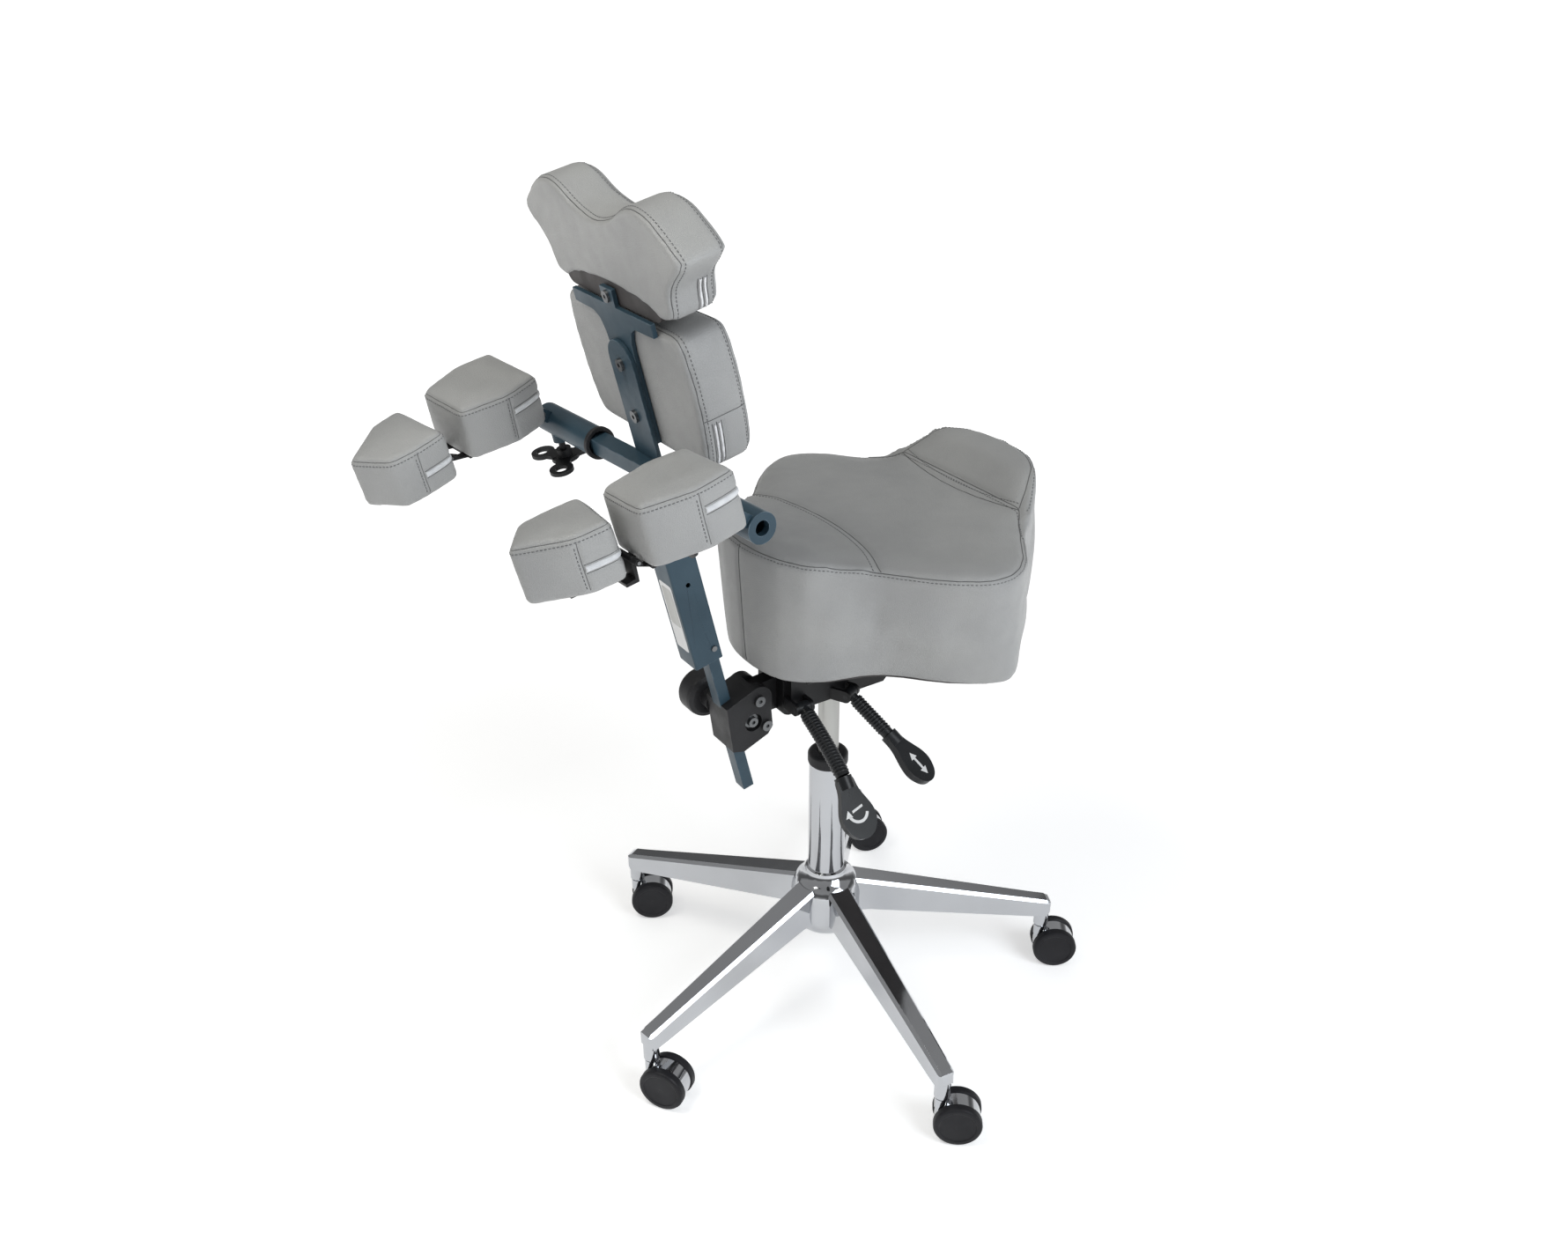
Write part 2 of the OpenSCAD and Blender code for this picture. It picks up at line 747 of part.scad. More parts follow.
module elbow_plate(i) {
    px = elbow_pivot[i][0];
    pz = elbow_pivot[i][1];
    h = hand_hinge[i];
    color(black) difference() {
        union() {
            at_pose(elbow_pose[i]) {
                translate([-48, -24, -elbow_pad_h - 4.6]) cube([100, 48, 4.2]);
                translate([-56, tongue_y(i) - 4, -elbow_pad_h - 4.6]) cube([12, 8, 4.2]);
                for (y = [-20, 10]) {
                    cyl_y(h[0], h[1], 3.4, y, y + 10);
                    side_extrude(y, y + 10) polygon([[48, -elbow_pad_h - 0.4],
                        [58.3, -elbow_pad_h - 0.4], [h[0] - 3, h[1] + 1.5],
                        [h[0] + 1, h[1] - 3.2], [50, -elbow_pad_h - 4.6]]);
                }
            }
            on_bar() cyl_side(i, px, pz, 6.5, lug_y - 6, lug_y + 6);
        }
        on_bar() cyl_side(i, px, pz, 3 + run, lug_y - 10, lug_y + 10);
        at_pose(elbow_pose[i]) cyl_y(h[0], h[1], 1.8, -40, 40);
    }
}

module hand_pin(i) {
    h = hand_hinge[i];
    color(grey_steel) at_pose(elbow_pose[i]) cyl_y(h[0], h[1], 1.8, -21, 21);
}

module hand_plate(i) {
    h = hand_hinge[i];
    f = hand_foot[i];
    color(black) difference() {
        union() {
            at_pose(elbow_pose[i]) {
                cyl_y(h[0], h[1], 3.4, -9.7, 9.7);
                side_extrude(-9.7, 9.7) polygon([[h[0] - 3, h[1]], [h[0] + 3, h[1] + 0.5],
                    [f[0] - 0.8, f[1] - 0.4], [f[0] + 10, f[1] - 1.2], [f[0] + 10, f[1] - 4.6],
                    [f[0] - 4, f[1] - 4.6], [h[0] - 1.5, h[1] - 3]]);
            }
            at_pose(hand_pose[i]) translate([4, -20, -hand_pad_h - 4.6]) cube([52, 40, 4.2]);
        }
        at_pose(elbow_pose[i]) cyl_y(h[0], h[1], 1.8 + run, -40, 40);
    }
}

module left_collar() { arm_collar(0); }
module left_sleeve() { arm_sleeve(0); }
module left_lock_knob() { arm_lock_knob(0); }
module left_tilt_pin() { arm_tilt_pin(0); }
module left_elbow_plate() { elbow_plate(0); }
module left_elbow_pad() { elbow_pad(0); }
module left_hand_pin() { hand_pin(0); }
module left_hand_plate() { hand_plate(0); }
module left_hand_pad() { hand_pad(0); }
module right_collar() { arm_collar(1); }
module right_sleeve() { arm_sleeve(1); }
module right_lock_knob() { arm_lock_knob(1); }
module right_tilt_pin() { arm_tilt_pin(1); }
module right_elbow_plate() { elbow_plate(1); }
module right_elbow_pad() { elbow_pad(1); }
module right_hand_pin() { hand_pin(1); }
module right_hand_plate() { hand_plate(1); }
module right_hand_pad() { hand_pad(1); }

star_base();
column_tube();
column_collar();
gas_piston();
caster_1_hood();
caster_1_axle();
caster_1_wheels();
caster_2_hood();
caster_2_axle();
caster_2_wheels();
caster_3_hood();
caster_3_axle();
caster_3_wheels();
caster_4_hood();
caster_4_axle();
caster_4_wheels();
caster_5_hood();
caster_5_axle();
caster_5_wheels();
mechanism_housing();
tilt_plate();
tilt_pin();
seat_board();
seat_cushion();
height_lever_coil();
height_lever_paddle();
tilt_lever_coil();
tilt_lever_paddle();
mast_bracket();
clamp_block();
clamp_screws();
clamp_knob();
slider_bar();
mast_tube();
crossbar();
mast_flat();
t_bracket();
frame_bolts();
chest_board();
chest_pad();
head_board();
head_pad();
left_collar();
left_sleeve();
left_lock_knob();
left_tilt_pin();
left_elbow_plate();
left_elbow_pad();
left_hand_pin();
left_hand_plate();
left_hand_pad();
right_collar();
right_sleeve();
right_lock_knob();
right_tilt_pin();
right_elbow_plate();
right_elbow_pad();
right_hand_pin();
right_hand_plate();
right_hand_pad();
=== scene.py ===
"""Kneeling massage chair: upholstery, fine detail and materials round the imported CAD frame.

Pads are laid out in millimetres in a frame of their own and mapped to the row frame in
metres: CHAIR about the column axis, MAST along the leaning mast, and one for each arm pad.
"""

import json
from math import cos, hypot, pi, radians, sin

import bpy
import numpy as np
from mathutils import Matrix, Vector
from mathutils.bvhtree import BVHTree
from mathutils.kdtree import KDTree


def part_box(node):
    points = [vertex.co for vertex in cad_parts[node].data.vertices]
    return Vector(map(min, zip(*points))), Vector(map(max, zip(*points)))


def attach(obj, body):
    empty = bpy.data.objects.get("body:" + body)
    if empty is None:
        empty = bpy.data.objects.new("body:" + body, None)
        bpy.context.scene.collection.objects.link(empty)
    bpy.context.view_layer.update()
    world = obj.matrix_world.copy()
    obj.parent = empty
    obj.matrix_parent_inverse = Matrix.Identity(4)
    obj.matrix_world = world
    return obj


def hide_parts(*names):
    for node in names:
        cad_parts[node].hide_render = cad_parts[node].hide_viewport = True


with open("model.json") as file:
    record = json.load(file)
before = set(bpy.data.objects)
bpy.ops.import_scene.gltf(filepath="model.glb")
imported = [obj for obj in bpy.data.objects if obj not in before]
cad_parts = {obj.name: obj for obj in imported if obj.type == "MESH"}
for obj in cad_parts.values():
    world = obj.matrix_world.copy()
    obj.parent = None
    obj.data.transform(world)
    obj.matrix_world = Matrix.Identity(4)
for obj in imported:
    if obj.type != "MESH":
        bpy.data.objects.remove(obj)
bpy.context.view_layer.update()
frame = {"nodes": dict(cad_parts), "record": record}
slot_of = {s["node"]: s["material_slot"] for s in frame["record"]["subparts"]}

# ------------------------------------------------------------------ frames

piston_lo, piston_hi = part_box("gas_piston")
column = (piston_lo + piston_hi) / 2
CHAIR = Matrix.Translation((column.x, column.y, 0)) @ Matrix.Scale(0.001, 4)
MAST = CHAIR @ Matrix.Translation((250, 0, 846)) @ Matrix.Rotation(radians(13.15), 4, "Y")
# plan (across, up) and depth of a plate on the mast
PLATE = MAST @ Matrix(((0, 0, 1, 0), (1, 0, 0, 0), (0, 1, 0, 0), (0, 0, 0, 1)))


def pose(x, y, z, yaw, pitch, roll):
    turn = (Matrix.Rotation(radians(yaw), 4, "Z") @ Matrix.Rotation(radians(pitch), 4, "Y")
            @ Matrix.Rotation(radians(roll), 4, "X"))
    return CHAIR @ Matrix.Translation((x, y, z)) @ turn


ELBOW = {"left": pose(331, 203, 926, 0.9, 11.4, 5), "right": pose(356, -182.5, 915, 10.9, 12.9, -5)}
HAND = {"left": pose(393, 174, 898, -4.4, 12.8, 4), "right": pose(438, -154.5, 894, 13.4, 15.9, -4)}

# --------------------------------------------------------------- materials


def new_material(name, color, roughness, metallic=0.0):
    mat = bpy.data.materials.new(name)
    mat.use_nodes = True
    shader = mat.node_tree.nodes["Principled BSDF"]
    shader.inputs["Base Color"].default_value = (*color, 1)
    shader.inputs["Roughness"].default_value = roughness
    shader.inputs["Metallic"].default_value = metallic
    return mat, mat.node_tree, shader


def add_node(tree, kind, **values):
    node = tree.nodes.new("ShaderNode" + kind)
    for key, value in values.items():
        if key in node.inputs:
            node.inputs[key].default_value = value
        else:
            setattr(node, key, value)
    return node


def object_space(tree, scale=(1, 1, 1)):
    coords = add_node(tree, "TexCoord")
    mapping = add_node(tree, "Mapping", Scale=scale)
    tree.links.new(coords.outputs["Object"], mapping.inputs["Vector"])
    return mapping.outputs["Vector"]


def noise(tree, vector, scale, detail=3.0):
    node = add_node(tree, "TexNoise", Scale=scale, Detail=detail)
    tree.links.new(vector, node.inputs["Vector"])
    return node.outputs["Fac"]


def ramp(tree, fac, stops):
    node = add_node(tree, "ValToRGB")
    elements = node.color_ramp.elements
    while len(elements) < len(stops):
        elements.new(0.5)
    for element, (position, color) in zip(elements, stops):
        element.position = position
        element.color = (*color, 1) if len(color) == 3 else color
    tree.links.new(fac, node.inputs["Fac"])
    return node.outputs["Color"]


def grey(v):
    return (v, v, v)


def vary_roughness(tree, shader, vector, scale, low, high):
    fac = noise(tree, vector, scale)
    value = ramp(tree, fac, [(0.3, grey(low)), (0.7, grey(high))])
    tree.links.new(value, shader.inputs["Roughness"])


def vary_color(tree, shader, vector, scale, dark, light):
    fac = noise(tree, vector, scale)
    color = ramp(tree, fac, [(0.3, dark), (0.7, light)])
    tree.links.new(color, shader.inputs["Base Color"])
    return color


def bump(tree, shader, heights, distance):
    """Chains bump nodes for a list of (height socket, strength)."""
    last = None
    for height, strength in heights:
        node = add_node(tree, "Bump", Strength=strength, Distance=distance)
        tree.links.new(height, node.inputs["Height"])
        if last:
            tree.links.new(last, node.inputs["Normal"])
        last = node.outputs["Normal"]
    tree.links.new(last, shader.inputs["Normal"])


def leatherette(name="leatherette", dark=(0.245, 0.247, 0.247), light=(0.295, 0.296, 0.292)):
    mat, tree, shader = new_material(name, light, 0.45)
    shader.inputs["Specular IOR Level"].default_value = 0.45
    shader.inputs["Sheen Weight"].default_value = 0.05
    vector = object_space(tree)
    vary_color(tree, shader, vector, 9.0, dark, light)
    vary_roughness(tree, shader, vector, 60.0, 0.38, 0.52)
    cells = add_node(tree, "TexVoronoi", Scale=520.0, Randomness=1.0)
    cells.feature = "DISTANCE_TO_EDGE"
    tree.links.new(vector, cells.inputs["Vector"])
    pebbles = ramp(tree, cells.outputs["Distance"], [(0.0, grey(0.0)), (0.22, grey(1.0))])
    bump(tree, shader, [(pebbles, 0.32), (noise(tree, vector, 1300.0, 4.0), 0.18),
                        (noise(tree, vector, 28.0, 2.0), 0.35)], 0.0006)
    return mat


def metal(name, color, low, high, streak=(1, 1, 1), scale=40.0, strength=0.03):
    mat, tree, shader = new_material(name, color, low, 1.0)
    vector = object_space(tree, streak)
    vary_roughness(tree, shader, vector, scale, low, high)
    vary_color(tree, shader, vector, scale / 3, tuple(c * 0.93 for c in color), color)
    bump(tree, shader, [(noise(tree, vector, scale * 6, 5.0), strength)], 0.0004)
    return mat


def edge_wear(tree, shader, color, worn, vector):
    """Lightens convex edges where the bevelled normal leaves the flat one."""
    bevel = add_node(tree, "Bevel", samples=4, Radius=0.0012)
    geometry = add_node(tree, "NewGeometry")
    dot = add_node(tree, "VectorMath", operation="DOT_PRODUCT")
    tree.links.new(bevel.outputs["Normal"], dot.inputs[0])
    tree.links.new(geometry.outputs["Normal"], dot.inputs[1])
    edge = ramp(tree, dot.outputs["Value"], [(0.90, grey(1.0)), (0.985, grey(0.0))])
    patches = ramp(tree, noise(tree, vector, 90.0, 5.0), [(0.45, grey(0.0)), (0.62, grey(1.0))])
    mask = add_node(tree, "Math", operation="MULTIPLY")
    tree.links.new(edge, mask.inputs[0])
    tree.links.new(patches, mask.inputs[1])
    mix = add_node(tree, "Mix", data_type="RGBA")
    tree.links.new(mask.outputs[0], mix.inputs["Factor"])
    tree.links.new(color, mix.inputs["A"])
    mix.inputs["B"].default_value = (*worn, 1)
    tree.links.new(mix.outputs["Result"], shader.inputs["Base Color"])


def coated(name, dark, light, low, high, worn, grain=420.0, strength=0.12, specular=0.25):
    """Powder coat or moulded plastic: fine texture, uneven gloss and rubbed edges."""
    mat, tree, shader = new_material(name, light, low)
    shader.inputs["Specular IOR Level"].default_value = specular
    vector = object_space(tree)
    color = vary_color(tree, shader, vector, 14.0, dark, light)
    vary_roughness(tree, shader, vector, 35.0, low, high)
    edge_wear(tree, shader, color, worn, vector)
    bump(tree, shader, [(noise(tree, vector, grain, 3.0), strength)], 0.0004)
    return mat


def woven(name, dark, light, scale=900.0):
    """Thread, elastic and lining."""
    mat, tree, shader = new_material(name, light, 0.8)
    shader.inputs["Sheen Weight"].default_value = 0.2
    vector = object_space(tree)
    vary_color(tree, shader, vector, 120.0, dark, light)
    bump(tree, shader, [(noise(tree, vector, scale, 2.0), 0.5)], 0.0006)
    return mat


LOOKS = {
    "grey_leatherette": leatherette(),
    "chrome": metal("chrome_plate", (0.47, 0.48, 0.50), 0.05, 0.11),
    "galvanised_steel": metal("galvanised", (0.40, 0.40, 0.385), 0.28, 0.45, (1, 1, 0.06), 60.0, 0.1),
    "bright_steel": metal("dull_zinc", (0.17, 0.175, 0.18), 0.28, 0.45, scale=90.0),
    "blue_grey_paint": coated("blue_grey_coat", (0.020, 0.042, 0.060), (0.030, 0.058, 0.080),
                              0.30, 0.44, (0.12, 0.17, 0.21)),
    "mechanism_black": coated("black_coat", (0.0045, 0.0045, 0.005), (0.008, 0.008, 0.009),
                              0.34, 0.5, (0.045, 0.045, 0.047)),
    "plastic_black": coated("black_moulding", (0.010, 0.010, 0.011), (0.018, 0.018, 0.020),
                            0.38, 0.55, (0.05, 0.05, 0.05), 900.0, 0.2),
    "lever_black": coated("lever_moulding", (0.009, 0.010, 0.011), (0.017, 0.018, 0.020),
                          0.26, 0.42, (0.05, 0.05, 0.052), 900.0, 0.12),
    "wheel_black": coated("wheel_moulding", (0.006, 0.006, 0.008), (0.013, 0.013, 0.016),
                          0.42, 0.62, (0.04, 0.04, 0.04), 700.0, 0.2),
    "board_black": coated("stained_board", (0.035, 0.032, 0.032), (0.055, 0.050, 0.050),
                          0.5, 0.7, (0.08, 0.07, 0.065), 260.0, 0.3),
}
seam_dark = leatherette("seam_shadow", (0.070, 0.071, 0.072), (0.095, 0.096, 0.096))
thread = woven("thread", (0.075, 0.077, 0.080), (0.11, 0.112, 0.115))
elastic = woven("elastic", (0.46, 0.47, 0.49), (0.58, 0.59, 0.60))
lining = woven("lining", (0.56, 0.56, 0.57), (0.70, 0.70, 0.71))
print_white = coated("print_white", (0.55, 0.55, 0.55), (0.68, 0.68, 0.68), 0.35, 0.5,
                     (0.7, 0.7, 0.7))

# ---------------------------------------------------------- CAD nodes' looks

# edge rounding of each slot's nodes, in millimetres
EDGE_MM = {"chrome": 0.9, "blue_grey_paint": 0.7, "mechanism_black": 1.0, "plastic_black": 0.8,
           "lever_black": 2.2, "wheel_black": 0.8, "bright_steel": 0.35,
           "board_black": 0.8, "galvanised_steel": 0.4}


def dress(node, obj):
    slot = slot_of[node]
    obj.data.materials.clear()
    obj.data.materials.append(LOOKS[slot])
    if slot not in EDGE_MM:
        return
    weld = obj.modifiers.new("weld", "WELD")
    weld.merge_threshold = 2e-5
    bevel = obj.modifiers.new("edge_rounding", "BEVEL")
    bevel.width = EDGE_MM[slot] / 1000
    bevel.segments = 3
    bevel.limit_method = "ANGLE"
    bevel.angle_limit = radians(32)
    bevel.harden_normals = False
    bevel.use_clamp_overlap = True
    obj.data.shade_smooth()
    normals = obj.modifiers.new("normals", "WEIGHTED_NORMAL")
    normals.keep_sharp = True


for node, obj in frame["nodes"].items():
    dress(node, obj)

# -------------------------------------------------------------- mesh helpers


def mesh_object(name, verts, faces, mat):
    mesh = bpy.data.meshes.new(name)
    mesh.from_pydata([tuple(v) for v in verts], [], faces)
    mesh.validate()
    mesh.materials.append(mat)
    obj = bpy.data.objects.new(name, mesh)
    bpy.context.collection.objects.link(obj)
    return obj


def place(matrix, points):
    """Frame millimetres to row metres."""
    m = np.array(matrix)
    return np.asarray(points, float) @ m[:3, :3].T + m[:3, 3]


def bake(obj):
    """Applies the modifiers of obj to its mesh."""
    depsgraph = bpy.context.evaluated_depsgraph_get()
    mesh = bpy.data.meshes.new_from_object(obj.evaluated_get(depsgraph))
    old = obj.data
    obj.modifiers.clear()
    obj.data = mesh
    bpy.data.meshes.remove(old)


def coords(mesh):
    co = np.empty(len(mesh.vertices) * 3)
    mesh.vertices.foreach_get("co", co)
    return co.reshape(-1, 3)


def set_coords(mesh, co):
    mesh.vertices.foreach_set("co", co.ravel())
    mesh.update()


def rounded(points, reach, steps=4):
    """Closed outline with each corner eased over a distance reach."""
    pts = [np.array(p, float) for p in points]
    out = []
    for i, v in enumerate(pts):
        a, b = pts[i - 1], pts[(i + 1) % len(pts)]
        da = min(reach, 0.45 * np.linalg.norm(a - v))
        db = min(reach, 0.45 * np.linalg.norm(b - v))
        s = v + (a - v) / np.linalg.norm(a - v) * da
        e = v + (b - v) / np.linalg.norm(b - v) * db
        for j in range(steps + 1):
            t = j / steps
            out.append(s * (1 - t) ** 2 + v * 2 * t * (1 - t) + e * t * t)
    return np.array(out)


def even(points, step, closed=True):
    """The same line with points every step."""
    pts = np.asarray(points, float)
    if closed:
        pts = np.vstack([pts, pts[:1]])
    run = np.concatenate([[0], np.cumsum(np.linalg.norm(np.diff(pts, axis=0), axis=1))])
    count = max(3, int(round(run[-1] / step)))
    at = np.linspace(0, run[-1], count + 1)
    if closed:
        at = at[:-1]
    return np.stack([np.interp(at, run, pts[:, k]) for k in range(pts.shape[1])], 1)


def inward(points, d):
    """Closed counter-clockwise outline moved inwards by d."""
    tangent = np.roll(points, -1, 0) - np.roll(points, 1, 0)
    tangent /= np.linalg.norm(tangent, axis=1)[:, None] + 1e-9
    return points + np.stack([-tangent[:, 1], tangent[:, 0]], 1) * d


def both_sides(half):
    """Full outline from one half that starts and ends on the centre line."""
    return half + [(x, -y) for x, y in half[-2:0:-1]]


def prism(name, rings, matrix):
    """Closed body through rings (outline, height) with equally many points each."""
    n = len(rings[0][0])
    verts = np.vstack([np.column_stack([o, np.full(n, float(h))]) for o, h in rings])
    faces = [tuple(range(n - 1, -1, -1)), tuple(range((len(rings) - 1) * n, len(rings) * n))]
    for k in range(len(rings) - 1):
        for i in range(n):
            j = (i + 1) % n
            faces.append((k * n + i, k * n + j, (k + 1) * n + j, (k + 1) * n + i))
    return mesh_object(name, place(matrix, verts), faces, LOOKS["grey_leatherette"])


def soft_rings(outline, low, high, radius, low_radius):
    """Rings of a block with rounded edges."""
    rings = []
    for k in range(4):
        a = k * pi / 6
        rings.append((inward(outline, low_radius * (1 - sin(a))), low + low_radius * (1 - cos(a))))
    for k in range(3, -1, -1):
        a = k * pi / 6
        rings.append((inward(outline, radius * (1 - sin(a))), high - radius * (1 - cos(a))))
    return rings


def vertex_normals(mesh):
    normals = np.empty(len(mesh.vertices) * 3)
    mesh.vertices.foreach_get("normal", normals)
    return normals.reshape(-1, 3)


def blend(mesh, values, rounds):
    """Averages one value per vertex with its neighbours along the edges."""
    ends = np.empty(len(mesh.edges) * 2, int)
    mesh.edges.foreach_get("vertices", ends)
    a, b = ends.reshape(-1, 2).T
    count = np.bincount(ends, minlength=len(values))
    for _ in range(rounds):
        near = np.bincount(a, values[b], len(values)) + np.bincount(b, values[a], len(values))
        values = (values + near / count) / 2
    return values


def stuff(obj, voxel, smooth, cap, clamp):
    """Blows the shape up like a foam-filled cover: voxel mesh, cloth with pressure, its swelling
    evened out and capped, then one subdivision. clamp keeps the side that rests on a board."""
    remesh = obj.modifiers.new("remesh", "REMESH")
    remesh.mode = "VOXEL"
    remesh.voxel_size = voxel / 1000
    soften = obj.modifiers.new("soften", "SMOOTH")
    soften.factor = 0.5
    soften.iterations = smooth
    bake(obj)
    start = coords(obj.data)
    cloth = obj.modifiers.new("cloth", "CLOTH")
    cloth.settings.use_pressure = True
    cloth.settings.uniform_pressure_force = 4
    cloth.settings.effector_weights.gravity = 0
    for step in range(1, 21):
        bpy.context.scene.frame_set(step)
    bake(obj)
    moved = coords(obj.data) - start
    set_coords(obj.data, start)
    normals = vertex_normals(obj.data)
    swell = ((moved - moved.mean(0)) * normals).sum(1)
    swell = blend(obj.data, np.clip(swell, -0.0005, cap / 1000), 12)
    start = start + normals * swell[:, None]
    bpy.context.scene.frame_set(1)
    set_coords(obj.data, clamp(start))
    subdivide = obj.modifiers.new("subdivide", "SUBSURF")
    subdivide.levels = 1
    subdivide.render_levels = 1
    bake(obj)
    obj.data.shade_smooth()
    obj.data.materials.clear()
    obj.data.materials.append(LOOKS["grey_leatherette"])


def keep_flat(matrix, height, side):
    """Clamp for stuff(): nothing passes the height on that side (+1 above, -1 below)."""
    inverse = matrix.inverted()

    def clamp(co):
        local = place(inverse, co)
        local[:, 2] = np.minimum(local[:, 2], height) if side > 0 else np.maximum(local[:, 2], height)
        return place(matrix, local)
    return clamp

# ------------------------------------------------------------- seams


def skin(obj):
    obj.data.calc_loop_triangles()
    tris = [tuple(t.vertices) for t in obj.data.loop_triangles]
    return BVHTree.FromPolygons([v.co for v in obj.data.vertices], tris)


def snap(tree, points):
    """Nearest points on the skin, and the skin's normals there."""
    hits = [tree.find_nearest(Vector(p)) for p in points]
    return np.array([h[0] for h in hits]), np.array([h[1] for h in hits])


def relax(points, closed, rounds=2):
    """Takes the jitter of the mesh out of a snapped line."""
    pts = points.copy()
    for _ in range(rounds):
        mid = (np.roll(pts, 1, 0) + np.roll(pts, -1, 0)) / 2
        if closed:
            pts = pts * 0.5 + mid * 0.5
        else:
            pts[1:-1] = pts[1:-1] * 0.5 + mid[1:-1] * 0.5
    return pts


def press_grooves(obj, lines, depth, width):
    """Sinks the skin along each line."""
    pts = np.vstack(lines)
    tree = KDTree(len(pts))
    for i, p in enumerate(pts):
        tree.insert(p, i)
    tree.balance()
    co, normals = coords(obj.data), vertex_normals(obj.data)
    gap = np.array([tree.find(p)[2] for p in co]) * 1000
    co -= normals * (depth / 1000 * np.exp(-(gap / width) ** 2))[:, None]
    set_coords(obj.data, co)


def sweep(lines, closed, radius, sides=6):
    """Vertices and faces of thin tubes along lines; radius is in millimetres."""
    verts, faces = [], []
    for line, loop in zip(lines, closed):
        n = len(line)
        tangent = np.roll(line, -1, 0) - np.roll(line, 1, 0)
        if not loop:
            tangent[0], tangent[-1] = line[1] - line[0], line[-1] - line[-2]
        tangent /= np.linalg.norm(tangent, axis=1)[:, None] + 1e-12
        ref = np.array((0.37, 0.21, 0.9))
        side = np.cross(tangent, ref)
        side /= np.linalg.norm(side, axis=1)[:, None] + 1e-12
        up = np.cross(side, tangent)
        base = len(verts)
        for i in range(n):
            for k in range(sides):
                a = 2 * pi * k / sides
                verts.append(line[i] + (side[i] * cos(a) + up[i] * sin(a)) * radius / 1000)
        for i in range(n if loop else n - 1):
            j = (i + 1) % n
            for k in range(sides):
                m = (k + 1) % sides
                faces.append((base + i * sides + k, base + i * sides + m,
                              base + j * sides + m, base + j * sides + k))
        if not loop:
            faces.append(tuple(base + k for k in range(sides - 1, -1, -1)))
            faces.append(tuple(base + (n - 1) * sides + k for k in range(sides)))
    return verts, faces


def stitch_row(points, normals, pitch, length, lift=0.25, radius=0.5):
    """Short threads with both ends in the skin."""
    run = np.concatenate([[0], np.cumsum(np.linalg.norm(np.diff(points, axis=0), axis=1))]) * 1000
    threads = []
    for k in range(int(run[-1] // pitch)):
        at = (k + 0.5) * pitch + np.array((-0.5, -0.25, 0.25, 0.5)) * length
        mid = np.stack([np.interp(at, run, points[:, c]) for c in range(3)], 1)
        out = np.stack([np.interp(at, run, normals[:, c]) for c in range(3)], 1)
        rise = np.array((-radius, lift, lift, -radius))[:, None]
        threads.append(mid + out * rise / 1000)
    return threads


SEAM_SINK = 0.12            # how far a seam's tube is sunk below the skin, in millimetres
STITCH_DEPTH, STITCH_WIDTH = 0.3, 0.6       # a stitch row's groove, as a share of a seam's
THREAD_R = 0.5


class Trim:
    """Seams and stitches of one pad, in the pad's own millimetre frame."""

    def __init__(self, pad, body, matrix):
        self.pad, self.body, self.matrix = pad, body, matrix
        self.seams, self.rows = [], []

    def seam(self, points, closed=False, step=2.0):
        self.seams.append((place(self.matrix, even(points, step, closed)), closed))

    def row(self, points, closed=False, step=2.0):
        self.rows.append((place(self.matrix, even(points, step, closed)), closed))

    def finish(self, depth=1.3, width=3.2, pitch=4.6, length=3.0, line=0.55):
        tree = skin(self.pad)
        seams = [(relax(snap(tree, pts)[0], closed), closed) for pts, closed in self.seams]
        rows = [(relax(snap(tree, pts)[0], closed), closed) for pts, closed in self.rows]
        press_grooves(self.pad, [pts for pts, closed in seams], depth, width)
        if rows:
            press_grooves(self.pad, [pts for pts, closed in rows], depth * STITCH_DEPTH,
                          width * STITCH_WIDTH)
        tree = skin(self.pad)
        lines = []
        for pts, closed in seams:
            on, out = snap(tree, pts)
            lines.append(relax(on, closed, 3) - out * SEAM_SINK / 1000)
        verts, faces = sweep(lines, [closed for pts, closed in seams], line)
        name = self.pad.name
        self.attach(mesh_object(name + "_seams", verts, faces, seam_dark))
        threads = []
        for pts, closed in rows:
            on, out = snap(tree, np.vstack([pts, pts[:1]]) if closed else pts)
            threads += stitch_row(on, out, pitch, length)
        if threads:
            verts, faces = sweep(threads, [False] * len(threads), THREAD_R, 5)
            self.attach(mesh_object(name + "_stitches", verts, faces, thread))

    def ribbon(self, name, points, height, mat, bulge=0.9):
        """Flat band laid on the skin along an open line, height across it."""
        tree = skin(self.pad)
        across = np.array(self.matrix.to_3x3() @ Vector((0, 0, 1)))
        across /= np.linalg.norm(across)
        line = place(self.matrix, even(points, 2.5, False))
        profile = [(-0.5, -0.4), (-0.42, 0.55), (-0.15, 1.0), (0.0, 0.8), (0.15, 1.0),
                   (0.42, 0.55), (0.5, -0.4)]
        verts, faces = [], []
        for offset, rise in profile:
            on, out = snap(tree, line + across * offset * height / 1000)
            verts += list(relax(on, False) + out * rise * bulge / 1000)
        n = len(line)
        for r in range(len(profile) - 1):
            for i in range(n - 1):
                faces.append((r * n + i, r * n + i + 1, (r + 1) * n + i + 1, (r + 1) * n + i))
        obj = mesh_object(name, verts, faces, mat)
        thick = obj.modifiers.new("thickness", "SOLIDIFY")
        thick.thickness = 0.0006
        bake(obj)
        obj.data.shade_smooth()
        self.attach(obj)

    def attach(self, obj):
        obj.data.shade_smooth()
        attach(obj, self.body)


def finish_pad(pad, node, body):
    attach(pad, body)
    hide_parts(node)

# ------------------------------------------------------------------ seat


